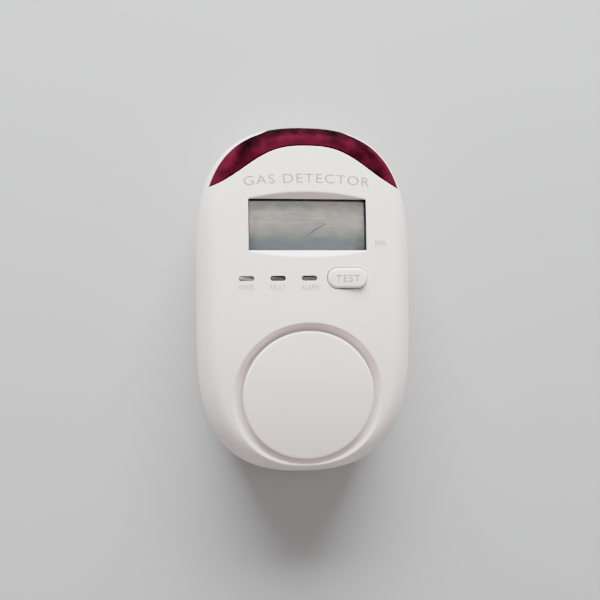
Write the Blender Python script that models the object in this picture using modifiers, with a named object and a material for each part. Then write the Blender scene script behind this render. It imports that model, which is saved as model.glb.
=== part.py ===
"""Battery-powered carbon monoxide alarm, modelled as an assembly of separate solids.

It lies on its back: the wall face is at z = 0, the front face looks up along +Z and the red alarm lens
is at +Y. The origin is the centre of the wall face. Sizes and places are written in millimetres, and the
functions under "tools" make every object in metres.
"""

import math

import bmesh
import bpy
from mathutils import Matrix, Vector

MM = 0.001

# Case
HALF_WIDTH = 36.0
HALF_LENGTH = 57.5
OUTLINE_POWER_X = 2.5
OUTLINE_POWER_Y = 4.0
OUTLINE_STEPS = 56
PARTING_HEIGHT = 16.0
WALL_TOP = 19.0
FACE_HEIGHT = 39.6
WALL = 2.0
EDGE_ROLL = 8.0
ROLL_STEPS = 6
CROWN_RADIUS_X = 120.0
CROWN_RADIUS_TOP = 500.0
CROWN_RADIUS_BOTTOM = 220.0
GAP = 0.3
BEYOND = 1.0
ABOVE_ALL = 45.0

# Features of the front face
LENS_PEAK_Y = 47.8
LENS_TIP_X = 30.4
LENS_TIP_Y = 36.1
LENS_EDGE_LOW = 19.3
LENS_EDGE_RISE = 12.5
LENS_EDGE_START = 6.0
LENS_EDGE_REACH = 15.0
SOUNDER_Y = -30.3
DISC_RADIUS = 20.6
DISC_THICKNESS = 2.0
DISC_SUNK = 0.5
DISH_RIM_RADIUS = 23.2
DISH_FLOOR_RADIUS = 20.0
DISH_DEPTH = 3.8
SOUND_PORT_RADIUS = 15.0
PEG_CIRCLE = 18.0
PEG_RADIUS = 1.0
DISPLAY_Y = 23.2
DISPLAY_WIDTH = 36.8
DISPLAY_HEIGHT = 16.1
DISPLAY_PLANE = 37.5
DISPLAY_TILT = -math.atan(DISPLAY_Y / CROWN_RADIUS_TOP)
LIP = 0.8
INDICATOR_Y = 6.5
INDICATOR_X = {"power": -19.1, "fault": -9.5, "alarm": 0.1}
SLOT_LENGTH = 4.8
SLOT_WIDTH = 1.65
BUTTON_X = 12.0
BUTTON_Y = 6.5
BUTTON_LENGTH = 12.4
BUTTON_WIDTH = 6.2
BUTTON_TOP = 39.8

# Inside
BOARD_LOW = 21.0
BOARD_HIGH = 22.6
ON_BOARD = BOARD_HIGH + GAP
BOARD_INSET = 5.0
BOSS_X = 24.0
BOSS_Y = 40.0
BOSS_RADIUS = 3.2
BOSS_JOIN = 20.0
STANDOFF_X = 27.0
STANDOFF_RADIUS = 2.4
SCREW_HOLE_RADIUS = 1.6
SCREW_RADIUS = 1.25

# Battery bay and its door
CELL_RADIUS = 7.1
CELL_LENGTH = 50.5
CELL_PITCH = 15.0
CELL_HEIGHT = 9.7
BAY_HALF_WIDTH = 22.6
BAY_X = (-BAY_HALF_WIDTH, BAY_HALF_WIDTH)
BAY_LOW_Y = -33.5
BAY_HIGH_Y = 24.0
BAY_CEILING = 17.1
BAY_TOP = 18.4
BAY_WALL = 1.6
CONTACT_THICKNESS = 0.5
CONTACT_REACH = 4.5
CONTACT_Z = (5.0, 15.0)
TAIL_TOP = 19.4
SPRING_LENGTH = 4.5
SPRING_WIRE = 0.4
LEAD_RADIUS = 0.55
DOOR_HALF_WIDTH = 23.4
DOOR_LOW_Y = -35.9
DOOR_HIGH_Y = 25.0
DOOR_LOW = 0.3
DOOR_HIGH = 1.8
LEDGE = 2.1
HINGE_Y = 25.0
HINGE_Z = 0.3
TAB_X = 7.5
KEYHOLE_X = 12.0
KEYHOLE_Y = 37.5
KEYHOLE_RADIUS = 4.0
KEYHOLE_SLOT = 4.5
KEYHOLE_END_Y = 44.5

COLOURS = {
    "white_abs": ((0.84, 0.82, 0.81), 0.45, 0.0),
    "red_lens": ((0.28, 0.01, 0.03), 0.15, 0.0),
    "clear_window": ((0.75, 0.8, 0.8), 0.08, 0.0),
    "display_glass": ((0.3, 0.34, 0.35), 0.2, 0.0),
    "smoked_lens": ((0.2, 0.2, 0.19), 0.25, 0.0),
    "green_lens": ((0.42, 0.44, 0.36), 0.25, 0.0),
    "green_board": ((0.02, 0.16, 0.07), 0.5, 0.0),
    "black_plastic": ((0.02, 0.02, 0.02), 0.5, 0.0),
    "zebra_rubber": ((0.75, 0.5, 0.5), 0.7, 0.0),
    "steel": ((0.6, 0.6, 0.58), 0.3, 1.0),
    "cell_jacket": ((0.05, 0.06, 0.08), 0.35, 0.0),
    "red_wire": ((0.5, 0.02, 0.02), 0.5, 0.0),
    "black_wire": ((0.015, 0.015, 0.015), 0.5, 0.0),
}


# ---------------------------------------------------------------- tools

def clear_scene():
    for obj in list(bpy.data.objects):
        bpy.data.objects.remove(obj, do_unlink=True)
    for name in ("co_alarm", "cutters"):
        collection = bpy.data.collections.new(name)
        bpy.context.scene.collection.children.link(collection)
    bpy.data.collections["cutters"].hide_render = True


def material(name):
    found = bpy.data.materials.get(name)
    if found:
        return found
    colour, roughness, metallic = COLOURS[name]
    made = bpy.data.materials.new(name)
    made.use_nodes = True
    shader = made.node_tree.nodes["Principled BSDF"]
    shader.inputs["Base Color"].default_value = (*colour, 1.0)
    shader.inputs["Roughness"].default_value = roughness
    shader.inputs["Metallic"].default_value = metallic
    return made


def place(name, data, finish=None):
    """A new object: a part when it has a finish, and a hidden cutter when it has none."""
    obj = bpy.data.objects.new(name, data)
    if finish:
        bpy.data.collections["co_alarm"].objects.link(obj)
        data.materials.append(material(finish))
    else:
        bpy.data.collections["cutters"].objects.link(obj)
        obj.hide_render = True
        obj.display_type = "WIRE"
    return obj


def set_origin(obj, point):
    """Moves an object's origin to a point of its joint's axis, leaving its mesh where it is."""
    obj.data.transform(Matrix.Translation(metres(point)).inverted())
    obj.location = metres(point)


def metres(point):
    return Vector(point) * MM


def mesh_from(bm, name):
    """A mesh in metres from a bmesh in millimetres, shaded smooth but for its sharp edges."""
    bmesh.ops.scale(bm, verts=bm.verts, vec=(MM, MM, MM))
    mesh = bpy.data.meshes.new(name)
    bm.to_mesh(mesh)
    bm.free()
    mesh.shade_smooth()
    mesh.set_sharp_from_angle(angle=math.radians(35))
    return mesh


def combine(obj, tool, operation):
    modifier = obj.modifiers.new(operation.lower() + "_" + tool.name, "BOOLEAN")
    modifier.operation = operation
    modifier.object = tool
    modifier.solver = "EXACT"


def cut(obj, *tools):
    for tool in tools:
        combine(obj, tool, "DIFFERENCE")


def join(obj, *tools):
    for tool in tools:
        combine(obj, tool, "UNION")


def bevel(obj, width, segments=2, angle=50.0):
    modifier = obj.modifiers.new("rounded_edges", "BEVEL")
    modifier.width = width * MM
    modifier.segments = segments
    modifier.limit_method = "ANGLE"
    modifier.angle_limit = math.radians(angle)


def loft(name, sections, finish=None, closed_ends=True, ring=False):
    """Faces between successive sections of equal length. A section of one point closes to a fan."""
    bm = bmesh.new()
    rows = [[bm.verts.new(point) for point in section] for section in sections]
    pairs = list(zip(rows, rows[1:])) + ([(rows[-1], rows[0])] if ring else [])
    for first, second in pairs:
        count = max(len(first), len(second))
        for i in range(count):
            j = (i + 1) % count
            low = [first[i % len(first)], first[j % len(first)]]
            high = [second[j % len(second)], second[i % len(second)]]
            bm.faces.new(list(dict.fromkeys(low + high)))
    bmesh.ops.triangulate(bm, faces=bm.faces)
    if closed_ends and not ring:
        for row in (rows[0], rows[-1]):
            if len(row) > 2:
                bm.faces.new(row)
    bmesh.ops.recalc_face_normals(bm, faces=bm.faces)
    return place(name, mesh_from(bm, name), finish)


def box(name, x, y, z, finish=None):
    """A box from its low and high x, y and z."""
    bm = bmesh.new()
    bmesh.ops.create_cube(bm, size=1.0)
    for vert in bm.verts:
        vert.co = [low + (high - low) * (share + 0.5) for share, (low, high) in zip(vert.co, (x, y, z))]
    return place(name, mesh_from(bm, name), finish)


def cylinder(name, radius, low, high, x, y, finish=None, sides=24, top_radius=None):
    bm = bmesh.new()
    bmesh.ops.create_cone(
        bm, cap_ends=True, segments=sides, radius1=radius, radius2=top_radius or radius, depth=high - low
    )
    bmesh.ops.translate(bm, verts=bm.verts, vec=(x, y, (low + high) / 2))
    return place(name, mesh_from(bm, name), finish)


def turned(name, profile, x, y, finish, steps=20):
    """A profile of (radius, height) points, top to bottom, turned about the vertical through (x, y)."""
    mesh = bpy.data.meshes.new(name)
    points = [metres((radius, 0.0, height)) for radius, height in profile]
    mesh.from_pydata(points, [(i, i + 1) for i in range(len(points) - 1)], [])
    obj = place(name, mesh, finish)
    obj.location = metres((x, y, 0.0))
    screw = obj.modifiers.new("turned", "SCREW")
    screw.steps = screw.render_steps = steps
    screw.use_merge_vertices = True
    screw.merge_threshold = 0.00001
    return obj


def plate(name, outline, low, high, finish=None):
    """A flat outline of (x, y) points given thickness from low to high, as a mesh."""
    curve = bpy.data.curves.new(name, "CURVE")
    curve.dimensions = "2D"
    curve.fill_mode = "BOTH"
    curve.extrude = (high - low) / 2
    spline = curve.splines.new("POLY")
    spline.points.add(len(outline) - 1)
    for point, (x, y) in zip(spline.points, outline):
        point.co = (x, y, 0.0, 1.0)
    spline.use_cyclic_u = True
    guide = bpy.data.objects.new(name + "_curve", curve)
    bpy.context.scene.collection.objects.link(guide)
    evaluated = guide.evaluated_get(bpy.context.evaluated_depsgraph_get())
    bm = bmesh.new()
    bm.from_mesh(bpy.data.meshes.new_from_object(evaluated))
    bpy.data.objects.remove(guide)
    bmesh.ops.remove_doubles(bm, verts=bm.verts, dist=0.01)
    bmesh.ops.translate(bm, verts=bm.verts, vec=(0.0, 0.0, (low + high) / 2))
    bmesh.ops.recalc_face_normals(bm, faces=bm.faces)
    return place(name, mesh_from(bm, name), finish)


def tube(name, points, radius, finish, sides_resolution=2):
    """A round wire through points, with closed ends."""
    curve = bpy.data.curves.new(name, "CURVE")
    curve.dimensions = "3D"
    curve.bevel_depth = radius * MM
    curve.bevel_resolution = sides_resolution
    curve.use_fill_caps = True
    spline = curve.splines.new("POLY")
    spline.points.add(len(points) - 1)
    for point, place_at in zip(spline.points, points):
        point.co = (*metres(place_at), 1.0)
    return place(name, curve, finish)


def obround(length, width, x, y, steps=8):
    """Outline of a slot with round ends, length along X."""
    radius = width / 2
    points = []
    for side, start in ((1, -math.pi / 2), (-1, math.pi / 2)):
        for i in range(steps + 1):
            angle = start + math.pi * i / steps
            middle = x + side * (length / 2 - radius)
            points.append((middle + radius * math.cos(angle), y + radius * math.sin(angle)))
    return points


def round_rectangle(half_x, half_y, radius, x, y, steps=4):
    points = []
    for corner in range(4):
        sign_x = 1 if corner in (0, 3) else -1
        sign_y = 1 if corner in (0, 1) else -1
        for i in range(steps + 1):
            angle = math.pi / 2 * (corner + i / steps)
            points.append((
                x + sign_x * (half_x - radius) + radius * math.cos(angle),
                y + sign_y * (half_y - radius) + radius * math.sin(angle),
            ))
    return points


def smooth_path(points, per_span=6):
    """Points on a Catmull-Rom curve through the given ones."""
    ends = [Vector(point) for point in (points[0], *points, points[-1])]
    path = []
    for a, b, c, d in zip(ends, ends[1:], ends[2:], ends[3:]):
        for i in range(per_span):
            t = i / per_span
            bend = (2 * a - 5 * b + 4 * c - d) * t ** 2 + (3 * b - a - 3 * c + d) * t ** 3
            path.append(b + 0.5 * ((c - a) * t + bend))
    return [*path, ends[-1]]


# ---------------------------------------------------------------- case surface

def outline(inset, steps=OUTLINE_STEPS):
    """(x, y) points of the case outline, drawn in by inset: a superellipse."""
    points = []
    for i in range(steps):
        angle = 2 * math.pi * i / steps
        across, along = (
            math.copysign(abs(v) ** (2 / power), v)
            for v, power in ((math.cos(angle), OUTLINE_POWER_X), (math.sin(angle), OUTLINE_POWER_Y))
        )
        points.append(((HALF_WIDTH - inset) * across, (HALF_LENGTH - inset) * along))
    return points


def crown_drop(x, y):
    """How far the front face has fallen at (x, y) from its height at the centre."""
    radius_y = CROWN_RADIUS_TOP if y > 0 else CROWN_RADIUS_BOTTOM
    return x * x / (2 * CROWN_RADIUS_X) + y * y / (2 * radius_y)


def face_height(x, y):
    return FACE_HEIGHT - crown_drop(x, y)


def front_sections(depth=0.0):
    """Sections of the front cover's outer surface, sunk by depth, from the parting plane to the middle."""
    low = PARTING_HEIGHT + GAP / 2
    sections = [[(x, y, low) for x, y in outline(depth)]]
    for i in range(ROLL_STEPS + 1):
        angle = math.pi / 2 * i / ROLL_STEPS
        section = []
        for x, y in outline(depth + (EDGE_ROLL - depth) * (1 - math.cos(angle))):
            rise = face_height(x, y) - depth - WALL_TOP
            section.append((x, y, WALL_TOP + rise * math.sin(angle)))
        sections.append(section)
    rim = sections[-1]
    for share in (0.7, 0.4, 0.15):
        inner = [(x * share, y * share) for x, y, _ in rim]
        sections.append([(x, y, face_height(x, y) - depth) for x, y in inner])
    return [*sections, [(0.0, 0.0, FACE_HEIGHT - depth)]]


def shell(name, sections, finish=None):
    """An open outer surface, thickened inwards to the wall."""
    obj = loft(name, sections, finish, closed_ends=False)
    top = max(obj.data.polygons, key=lambda face: abs(face.normal.z))
    outwards = 1 if sections[-1][0][2] > sections[0][0][2] else -1
    if top.normal.z * outwards < 0:
        obj.data.flip_normals()
    solidify = obj.modifiers.new("wall", "SOLIDIFY")
    solidify.thickness = WALL * MM
    solidify.offset = -1.0
    solidify.use_even_offset = True
    return obj


def core():
    """A solid that fills the front cover to half its wall, which trims what is joined inside it."""
    return loft("front_core", front_sections(WALL / 2))


def lens_inner_edge(x):
    """The lens's inner edge: a broad arch in the middle that sweeps out to the two tips."""
    share = min(abs(x) / LENS_TIP_X, 1.0)
    fall = (1 - math.cos(math.pi * share ** 1.37)) / 2
    beyond = max(0.0, abs(x) - LENS_TIP_X)
    return LENS_PEAK_Y - (LENS_PEAK_Y - LENS_TIP_Y) * fall - 0.2 * beyond


def lens_lower_edge(x):
    """Height of the lens's lower edge: low in the middle, and higher at the sides to leave a white rim."""
    share = min(1.0, max(0.0, (abs(x) - LENS_EDGE_START) / (LENS_EDGE_REACH - LENS_EDGE_START)))
    beyond = max(0.0, abs(x) - LENS_EDGE_REACH)
    return LENS_EDGE_LOW + LENS_EDGE_RISE * share * share * (3 - 2 * share) - 0.11 * beyond


def lens_space(name, clearance):
    """The space that the alarm lens takes out of the front cover."""
    steps = 44
    reach = 1.3 * HALF_WIDTH
    sections = []
    for i in range(steps + 1):
        x = reach * (2 * i / steps - 1)
        low = lens_lower_edge(x) + clearance
        near = lens_inner_edge(x) + clearance
        far = 1.2 * HALF_LENGTH
        sections.append([(x, near, low), (x, far, low), (x, far, ABOVE_ALL), (x, near, ABOVE_ALL)])
    return loft(name, sections)


# ---------------------------------------------------------------- front

def sounder_rings(name, rings, finish=None, sides=40):
    """A solid of rings (radius, depth below the face) about the sounder's centre, run with the face."""
    sections = []
    for radius, depth in rings:
        angles = [2 * math.pi * i / sides for i in range(sides if radius else 1)]
        ring = [(radius * math.cos(a), SOUNDER_Y + radius * math.sin(a)) for a in angles]
        sections.append([(x, y, FACE_HEIGHT - crown_drop(0.0, y) - depth) for x, y in ring])
    return loft(name, sections, finish)


def peg_places():
    angles = [math.radians(45 + 90 * i) for i in range(4)]
    return [(PEG_CIRCLE * math.cos(a), SOUNDER_Y + PEG_CIRCLE * math.sin(a)) for a in angles]


def tilt_with_display(obj):
    obj.location = metres((0.0, DISPLAY_Y, DISPLAY_PLANE))
    obj.rotation_euler = (DISPLAY_TILT, 0.0, 0.0)
    return obj


def display_box(name, half_x, half_y, low, high, finish=None):
    """A box in the display's own tilted frame, whose z = 0 is the bottom of the recess."""
    return tilt_with_display(box(name, (-half_x, half_x), (-half_y, half_y), (low, high), finish))


def display_recess():
    """The recess above the display, whose long walls slope gently up to the crowned face."""
    rise = 3.0
    slope = 4.2
    half_x, half_y = DISPLAY_WIDTH / 2, DISPLAY_HEIGHT / 2
    low = [(-half_x, -half_y, 0.0), (half_x, -half_y, 0.0), (half_x, half_y, 0.0), (-half_x, half_y, 0.0)]
    high = [(x * 1.02, y + math.copysign(slope, y), rise) for x, y, _ in low]
    return tilt_with_display(loft("display_recess", [low, high]))


def button_outline(clearance):
    return obround(BUTTON_LENGTH + 2 * clearance, BUTTON_WIDTH + 2 * clearance, BUTTON_X, BUTTON_Y)


def boss_places():
    return [(sx * BOSS_X, sy * BOSS_Y) for sx in (-1, 1) for sy in (-1, 1)]


def front_cover(inside):
    cover = shell("front_cover", front_sections(), "white_abs")
    pad = display_box("display_pad", 22.0, 11.7, -3.6, 8.0)
    pan = sounder_rings("sounder_pan", [(24.7, DISH_DEPTH + WALL), (24.7, -4.0)], sides=40)
    bosses = [
        cylinder(f"front_boss_{i}", BOSS_RADIUS, BOSS_JOIN + GAP, ABOVE_ALL, x, y, sides=16)
        for i, (x, y) in enumerate(boss_places())
    ]
    for tool in (pad, pan, *bosses):
        combine(tool, inside, "INTERSECT")
    join(cover, pad, pan, *bosses)
    cut(
        cover,
        lens_space("lens_opening", 0.0),
        display_recess(),
        display_box("display_opening", DISPLAY_WIDTH / 2, DISPLAY_HEIGHT / 2, -2.0, 0.5),
        display_box("display_pocket", 20.1, 9.75, -8.0, -LIP),
        sounder_rings("dish", [
            (0.0, DISH_DEPTH), (DISH_FLOOR_RADIUS, DISH_DEPTH), (DISH_RIM_RADIUS, 0.0),
            (DISH_RIM_RADIUS + 1.2, -3.0), (0.0, -3.0),
        ]),
        cylinder("sound_port", SOUND_PORT_RADIUS, BOARD_HIGH, ABOVE_ALL, 0.0, SOUNDER_Y, sides=32),
        plate("button_hole", button_outline(GAP), 30, ABOVE_ALL),
    )
    for name, x in INDICATOR_X.items():
        slot = obround(SLOT_LENGTH, SLOT_WIDTH, x, INDICATOR_Y, 6)
        cut(cover, plate(f"{name}_slot", slot, 30, ABOVE_ALL))
    for i, (x, y) in enumerate(peg_places()):
        cut(cover, cylinder(f"peg_hole_{i}", PEG_RADIUS + GAP, 20, FACE_HEIGHT, x, y, sides=12))
    for i, (x, y) in enumerate(boss_places()):
        cut(cover, cylinder(f"boss_hole_{i}", SCREW_HOLE_RADIUS, BOSS_JOIN, 28, x, y, sides=12))


def alarm_lens():
    """The red lens: what the front cover's own shell would be in the lens opening, with a gap all round."""
    lens = shell("alarm_lens", front_sections(), "red_lens")
    combine(lens, lens_space("lens_limit", GAP), "INTERSECT")


def sounder_cap():
    """The round disc over the sound port, on four pegs that pass through the dish floor."""
    low = DISC_SUNK + DISC_THICKNESS
    cap = sounder_rings("sounder_cap", [
        (0.0, low), (DISC_RADIUS / 2, low), (DISC_RADIUS - 0.2, low), (DISC_RADIUS, low - 0.2),
        (DISC_RADIUS, DISC_SUNK + 0.7), (DISC_RADIUS - 0.25, DISC_SUNK + 0.2),
        (DISC_RADIUS - 0.8, DISC_SUNK), (DISC_RADIUS / 2, DISC_SUNK), (0.0, DISC_SUNK),
    ], "white_abs")
    for i, (x, y) in enumerate(peg_places()):
        face = face_height(0.0, y)
        shoulder = face - DISH_DEPTH + GAP + 0.5
        bottom = face - DISH_DEPTH - 3.4
        join(cap, turned(f"cap_leg_{i}", [
            (0.0, face - 1.4), (1.7, face - 1.4), (1.7, shoulder), (PEG_RADIUS, shoulder),
            (PEG_RADIUS, bottom), (0.0, bottom),
        ], x, y, None, steps=16))


def display():
    """Clear window, liquid crystal panel, the frame that holds it and the two rubber contact strips."""
    display_box("display_window", 19.7, 9.35, -2.3, -LIP - GAP, "clear_window")
    display_box("lcd_panel", 19.2, 9.1, -5.2, -2.6, "display_glass")
    frame_y = (DISPLAY_Y - 10.55, DISPLAY_Y + 10.55)
    frame = box("lcd_holder", (-20.65, 20.65), frame_y, (ON_BOARD, 33.1), "white_abs")
    cut(
        frame,
        box("holder_seat", (-19.5, 19.5), (DISPLAY_Y - 9.8, DISPLAY_Y + 9.8), (31.6, 35)),
        box("holder_well", (-18, 18), (DISPLAY_Y - 7.85, DISPLAY_Y + 7.85), (20, 33)),
    )
    for name, side in (("upper", 1), ("lower", -1)):
        middle = DISPLAY_Y + side * 6.5
        box(
            f"lcd_contact_strip_{name}", (-17, 17), (middle - 0.9, middle + 0.9),
            (ON_BOARD, 31.5), "zebra_rubber",
        )


def indicators():
    """Three light pipes in their slots, each over its own small lamp."""
    for name, x in INDICATOR_X.items():
        top = face_height(x, INDICATOR_Y) - 0.1
        finish = "green_lens" if name == "power" else "smoked_lens"
        pipe = obround(SLOT_LENGTH - 2 * GAP, SLOT_WIDTH - 2 * GAP, x, INDICATOR_Y, 5)
        plate(f"light_pipe_{name}", pipe, 26.4, top, finish)
        radius = 1.5
        turned(f"indicator_led_{name}", [
            (0.0, 26.0), (0.8, 25.8), (radius, 24.8), (radius, 23.6),
            (radius + 0.3, 23.6), (radius + 0.3, ON_BOARD), (0.0, ON_BOARD),
        ], x, INDICATOR_Y, finish, steps=12)


def self_test_button():
    """Cap, retaining flange and stem in one piece, over the tactile switch with its plunger."""
    bottom = 35.4
    cap = plate("self_test_button", button_outline(0.0), 35.0, BUTTON_TOP, "white_abs")
    set_origin(cap, (BUTTON_X, BUTTON_Y, BUTTON_TOP))
    bevel(cap, 0.8, 2)
    join(
        cap,
        plate("button_flange", obround(15.4, 8.4, BUTTON_X, BUTTON_Y), 34.4, bottom),
        cylinder("button_stem", 2.0, 28.05, 35.2, BUTTON_X, BUTTON_Y, sides=16),
    )
    half = 3.0
    switch = box(
        "tactile_switch", (BUTTON_X - half, BUTTON_X + half), (BUTTON_Y - half, BUTTON_Y + half),
        (ON_BOARD, 26.4), "black_plastic",
    )
    cut(switch, cylinder("plunger_hole", 2.0, 25.4, 28, BUTTON_X, BUTTON_Y, sides=20))
    plunger = cylinder("switch_plunger", 1.7, 25.9, 27.6, BUTTON_X, BUTTON_Y, "black_plastic", sides=20)
    set_origin(plunger, (BUTTON_X, BUTTON_Y, 27.6))


# ---------------------------------------------------------------- circuit board

def circuit_board():
    board = plate("circuit_board", outline(BOARD_INSET, 48), BOARD_LOW, BOARD_HIGH, "green_board")
    for i, (x, y) in enumerate(boss_places()):
        cut(board, cylinder(f"board_notch_{i}", BOSS_RADIUS + 0.5, 20, 24, x, y, sides=20))
    for i, side in enumerate((-1, 1)):
        cut(board, cylinder(f"board_hole_{i}", SCREW_HOLE_RADIUS, 20, 24, side * STANDOFF_X, 0.0, sides=12))


def chip(name, x, y, half_x, half_y, height):
    sides = (x - half_x, x + half_x), (y - half_y, y + half_y)
    made = box(name, *sides, (ON_BOARD, ON_BOARD + height), "black_plastic")
    bevel(made, 0.2, 1)


def board_parts():
    turned("co_sensor", [
        (0.0, 31.5), (2.2, 31.5), (2.2, 31.0), (6.4, 31.0), (7.0, 30.4),
        (7.0, 24.4), (7.4, 24.0), (7.4, ON_BOARD), (0.0, ON_BOARD),
    ], -20.0, -10.0, "steel", steps=28)
    turned("sounder", [
        (1.6, 31.0), (1.6, 32.5), (9.5, 32.5), (11.5, 31.0),
        (11.5, ON_BOARD), (0.0, ON_BOARD), (0.0, 31.0), (1.6, 31.0),
    ], 1.5, -29.0, "black_plastic", steps=32)
    turned("storage_capacitor", [
        (0.0, 33.0), (3.5, 33.0), (4.0, 32.5), (4.0, 24.6),
        (3.7, 24.2), (4.0, 23.8), (4.0, ON_BOARD), (0.0, ON_BOARD),
    ], 19.0, -8.0, "black_plastic", steps=20)
    turned("sounder_coil", [
        (0.0, 31.0), (4.5, 31.0), (4.5, 30.0), (3.8, 29.8), (3.8, 24.2),
        (4.5, 24.0), (4.5, ON_BOARD), (0.0, ON_BOARD),
    ], 22.0, -21.0, "black_plastic", steps=20)
    chip("microcontroller", 0.0, DISPLAY_Y, 5.0, 5.0, 1.5)
    chip("sensor_amplifier", -18.0, -30.0, 2.5, 2.0, 1.5)
    crystal = plate(
        "clock_crystal", obround(10.0, 4.2, -13.5, -38.0, 6), ON_BOARD, ON_BOARD + 3.5, "steel"
    )
    bevel(crystal, 0.3, 1)
    radius = 2.5
    for name, x in (("left", -13.0), ("right", 13.0)):
        turned(f"alarm_led_{name}", [
            (0.0, 31.5), (1.25, 31.16), (2.2, 30.2), (radius, 29.0), (radius, 24.0),
            (radius + 0.4, 24.0), (radius + 0.4, ON_BOARD), (0.0, ON_BOARD),
        ], x, 45.0, "red_lens", steps=14)


# ---------------------------------------------------------------- rear

def rear_sections():
    """Sections of the rear cover's outer surface, from the parting plane to the middle of the wall face."""
    corner = 2.2
    draft = 1.2
    sections = [[(x, y, PARTING_HEIGHT - GAP / 2) for x, y in outline(0.0)]]
    for i in range(5):
        angle = math.pi / 2 * i / 4
        rim = outline(draft + corner * (1 - math.cos(angle)))
        sections.append([(x, y, corner * (1 - math.sin(angle))) for x, y in rim])
    halfway = [(x / 2, y / 2, 0.0) for x, y, _ in sections[-1]]
    return [*sections, halfway, [(0.0, 0.0, 0.0)]]


def mating_lip():
    """The lip inside the rear cover's rim that locates the front cover."""
    profile = [(1.2, 12.0), (1.2, 15.2), (2.45, 15.2), (2.45, 18.4), (3.7, 18.4), (3.7, 12.0)]
    rings = [[(x, y, height) for x, y in outline(inset)] for inset, height in profile]
    return loft("mating_lip", rings, ring=True)


def rear_cover():
    cover = shell("rear_cover", rear_sections(), "white_abs")
    bay_x = BAY_HALF_WIDTH + BAY_WALL
    bay_y = (BAY_LOW_Y - BAY_WALL, BAY_HIGH_Y + BAY_WALL)
    join(
        cover,
        mating_lip(),
        box("bay_block", (-bay_x, bay_x), bay_y, (1.0, BAY_TOP)),
        box("latch_block", (-6.9, 6.9), (-42.4, BAY_LOW_Y - BAY_WALL / 2), (1.0, 10.4)),
    )
    for i, side in enumerate((-1, 1)):
        x = side * KEYHOLE_X
        join(
            cover,
            box(f"keyhole_block_{i}", (x - 6.4, x + 6.4), (31.9, 49.0), (1.0, 8.2)),
            cylinder(f"standoff_{i}", STANDOFF_RADIUS, 1.0, BOARD_LOW - GAP, side * STANDOFF_X, 0, sides=16),
        )
    for i, (x, y) in enumerate(boss_places()):
        join(cover, cylinder(f"rear_boss_{i}", 4.3, 1.0, BOSS_JOIN, x, y, sides=20))
    door_room = 0.3
    cut(
        cover,
        box("bay_space", BAY_X, (BAY_LOW_Y, BAY_HIGH_Y), (-BEYOND, BAY_CEILING)),
        plate("door_rebate", round_rectangle(
            DOOR_HALF_WIDTH + door_room, (DOOR_HIGH_Y - DOOR_LOW_Y) / 2 + door_room, 2.0,
            0.0, (DOOR_HIGH_Y + DOOR_LOW_Y) / 2,
        ), -BEYOND, LEDGE),
        box("latch_space", (-5.7, 5.7), (-41.2, BAY_LOW_Y - BAY_WALL), (-BEYOND, 9.2)),
        box("positive_slot", (-17, -13), (BAY_HIGH_Y - 1.2, BAY_HIGH_Y), (16, 20)),
        box("negative_slot", (13, 17), (BAY_LOW_Y, BAY_LOW_Y + 1.2), (16, 20)),
    )
    for i, side in enumerate((-1, 1)):
        x = side * KEYHOLE_X
        half = KEYHOLE_SLOT / 2
        cut(
            cover,
            box(f"tab_slot_{i}", (side * TAB_X - 2.4, side * TAB_X + 2.4), (22.5, 28), (2.0, 4.6)),
            box(f"keyhole_space_{i}", (x - 5.2, x + 5.2), (33.1, 47.8), (WALL, 7.0)),
            cylinder(f"keyhole_mouth_{i}", KEYHOLE_RADIUS, -BEYOND, 3, x, KEYHOLE_Y, sides=24),
            box(f"keyhole_slot_{i}", (x - half, x + half), (KEYHOLE_Y, KEYHOLE_END_Y), (-BEYOND, 3)),
            cylinder(f"keyhole_end_{i}", half, -BEYOND, 3, x, KEYHOLE_END_Y, sides=16),
            cylinder(f"standoff_hole_{i}", SCREW_HOLE_RADIUS, 14, 22, side * STANDOFF_X, 0.0, sides=12),
        )
    for i, (x, y) in enumerate(boss_places()):
        cut(
            cover,
            cylinder(f"head_bore_{i}", 3.2, -BEYOND, 9, x, y, sides=20),
            cylinder(f"shank_bore_{i}", SCREW_HOLE_RADIUS, 8, 22, x, y, sides=12),
        )


def battery_door():
    """A plate that hinges on two tabs at its upper end, with a folded spring latch at its lower end."""
    middle = (DOOR_HIGH_Y + DOOR_LOW_Y) / 2
    door = plate("battery_door", round_rectangle(
        DOOR_HALF_WIDTH, (DOOR_HIGH_Y - DOOR_LOW_Y) / 2, 1.7, 0.0, middle
    ), DOOR_LOW, DOOR_HIGH, "white_abs")
    set_origin(door, (0.0, HINGE_Y, HINGE_Z))
    latch_outline = [
        (-34.5, 0.3), (-34.5, 1.7), (-35.7, 1.7), (-35.7, 8.0), (-39.7, 8.0), (-39.7, 1.8), (-40.6, 1.8),
        (-40.6, 0.3), (-38.7, 0.3), (-38.7, 7.0), (-36.7, 7.0), (-36.7, 0.3),
    ]
    half = 5.0
    latch = loft("latch_spring", [[(x, y, z) for y, z in latch_outline] for x in (-half, half)])
    join(door, latch)
    for i, side in enumerate((-1, 1)):
        x = (side * TAB_X - 1.9, side * TAB_X + 1.9)
        tab_outline = [(23.2, 1.2), (24.8, 1.2), (24.8, 2.3), (27.2, 2.3), (27.2, 3.2), (23.2, 3.2)]
        join(door, loft(f"hinge_tab_{i}", [[(at, y, z) for y, z in tab_outline] for at in x]))
    for i in range(4):
        y = -26.0 + i * 1.8
        reach = 3.0 + 1.6 * i
        cut(door, box(f"grip_groove_{i}", (-reach, reach), (y, y + 0.9), (-BEYOND, DOOR_LOW + 0.5)))


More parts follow.
